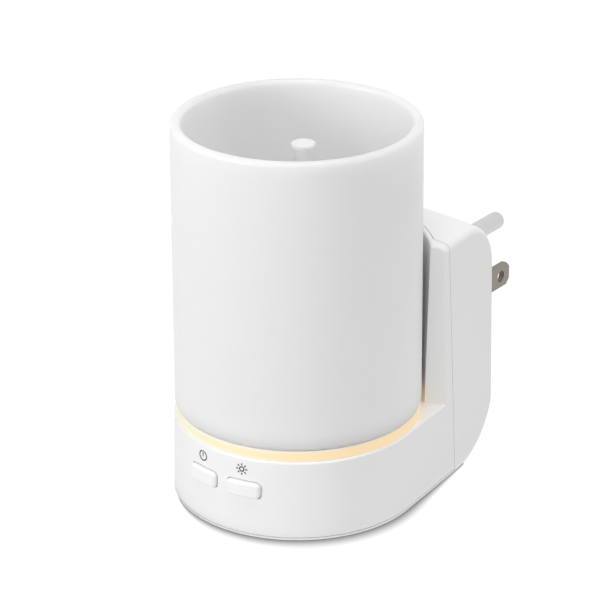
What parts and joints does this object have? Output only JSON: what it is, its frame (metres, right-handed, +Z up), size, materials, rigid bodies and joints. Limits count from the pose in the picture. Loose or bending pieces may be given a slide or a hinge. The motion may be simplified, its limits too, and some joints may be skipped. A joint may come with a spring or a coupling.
{
  "type": "wax melt warmer",
  "caption": "Plug-in wax melt warmer: a round white lift-off cup on a D-shaped base whose back rises into a tower with a wall plug, a lit ring and two push buttons.",
  "frame": {"origin": "on the cup's axis, in the plane of the underside", "axes": "+Z up along the cup's axis; -Y the front, where the push buttons are; +Y along the wall plug, towards the wall; +X to the right of a person who faces the buttons"},
  "size_m": [0.0652, 0.1043, 0.1007],
  "materials": {
    "shell": "fine satin, white",
    "cup": "matt white glaze",
    "post": "matt white glaze",
    "button": "semi-gloss, white",
    "plunger": "matt",
    "ring": "frosted, lit warm white from inside",
    "circuit_board": "green solder mask",
    "led": "clear over yellow",
    "screw": "zinc plated",
    "heat_plate": "turned",
    "heater_holder": "matt, heat resistant",
    "insulator": "matt silicone sheet",
    "heater_element": "sintered",
    "clamp": "pressed sheet",
    "thermal_fuse": "satin",
    "switch": "matt",
    "transformer": "ferrite with tape",
    "capacitor": "sleeved can",
    "mains_fuse": "smooth",
    "triac": "moulded",
    "plug_metal": "nickel plated, dull",
    "lead": "insulated",
    "ribbon": "smooth"
  },
  "bodies": {
    "housing": {"front_body": "shell", "rear_housing": "shell", "bottom_cover": "shell", "plug_insert": "shell", "light_ring": "ring", "light_board": "circuit_board", "control_board": "circuit_board", "power_board": "circuit_board", "leds": "led", "cover_screws": "screw", "housing_screws": "screw", "light_board_screws": "screw", "heater_screws": "screw", "power_board_screws": "screw", "plug_screws": "screw", "heat_plate": "heat_plate", "heater_holder": "heater_holder", "heater_insulator": "insulator", "heater_element": "heater_element", "heater_clamp": "clamp", "fuse_clip": "clamp", "thermal_fuse": "thermal_fuse", "power_switch": "switch", "light_switch": "switch", "transformer": "transformer", "filter_capacitor": "capacitor", "mains_fuse": "mains_fuse", "triac": "triac", "line_blade": "plug_metal", "neutral_blade": "plug_metal", "earth_pin": "plug_metal", "heater_leads": "lead", "mains_leads": "lead", "light_leads": "lead", "ribbon_cable": "ribbon"},
    "cup": {"cup": "cup", "centre_post": "post"},
    "power_button": {"power_button": "button", "power_plunger": "plunger"},
    "light_button": {"light_button": "button", "light_plunger": "plunger"}
  },
  "joints": [
    {"name": "cup_lift", "type": "slide", "parent": "housing", "child": "cup", "axis": [0, 0, 1], "range_m": [0, 0.048]},
    {"name": "power_press", "type": "slide", "parent": "housing", "child": "power_button", "axis": [0, 1, 0], "range_m": [0, 0.0006], "stiffness_N_per_m": 900},
    {"name": "light_press", "type": "slide", "parent": "housing", "child": "light_button", "axis": [0, 1, 0], "range_m": [0, 0.0006], "stiffness_N_per_m": 900}
  ]
}
